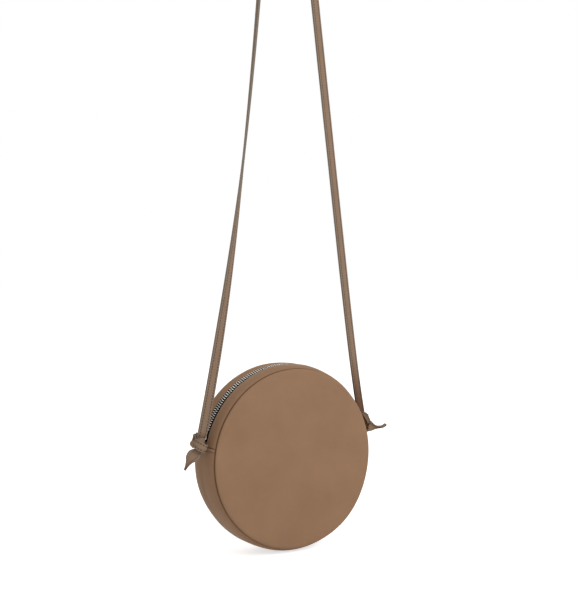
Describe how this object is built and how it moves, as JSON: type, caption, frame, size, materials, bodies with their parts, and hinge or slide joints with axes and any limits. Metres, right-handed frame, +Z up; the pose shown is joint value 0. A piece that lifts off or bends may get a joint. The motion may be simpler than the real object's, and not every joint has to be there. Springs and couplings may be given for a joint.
{
  "type": "round crossbody bag",
  "caption": "Round flat-faced crossbody bag in smooth brown leather, with a metal zip over the top half of its side band and a long thin strap knotted through a loop tab at each side.",
  "frame": {"origin": "where a hook bears on the inside of the highest bend of the strap", "axes": "+Z up along the hanging strap, +X to the right seen from the front face, +Y through the bag towards its back face"},
  "size_m": [0.2558, 0.05, 0.8124],
  "materials": {
    "bag_leather": "smooth full-grain leather, fine grain, satin",
    "strap_leather": "folded and edge-stitched leather, matt",
    "zip_tape": "black woven zip tape",
    "zip_metal": "nickel-plated metal, softly polished",
    "lining": "plain woven cotton lining"
  },
  "bodies": {
    "strap": {"shoulder_strap": "strap_leather", "left_knot": "strap_leather", "right_knot": "strap_leather", "left_tail": "strap_leather", "right_tail": "strap_leather", "left_loop_tab": "bag_leather", "right_loop_tab": "bag_leather"},
    "bag": {"left_tab_root": "bag_leather", "right_tab_root": "bag_leather", "front_panel": "bag_leather", "back_panel": "bag_leather", "bottom_band": "bag_leather", "zip_panel_front": "bag_leather", "zip_panel_back": "bag_leather", "zip_tape_front": "zip_tape", "zip_tape_back": "zip_tape", "zip_teeth_front": "zip_metal", "zip_teeth_back": "zip_metal", "zip_bottom_stop": "zip_metal", "zip_top_stop_front": "zip_metal", "zip_top_stop_back": "zip_metal", "lining_front": "lining", "lining_back": "lining", "lining_band": "lining", "lining_top_front": "lining", "lining_top_back": "lining"},
    "slider": {"slider_body": "zip_metal", "slider_bail": "zip_metal"},
    "pull": {"pull_tab": "zip_metal"}
  },
  "joints": [
    {"name": "bag_swing", "type": "hinge", "parent": "strap", "child": "bag", "pos_m": [0, 0, -0.68922], "axis": [1, 0, 0], "range_deg": [-50, 50]},
    {"name": "zip_travel", "type": "hinge", "parent": "bag", "child": "slider", "pos_m": [0, 0, -0.71], "axis": [0, -1, 0], "range_deg": [0, 113]},
    {"name": "pull_flip", "type": "hinge", "parent": "slider", "child": "pull", "pos_m": [0.0754, 0, -0.64116], "axis": [0, 1, 0], "range_deg": [0, 180]}
  ]
}
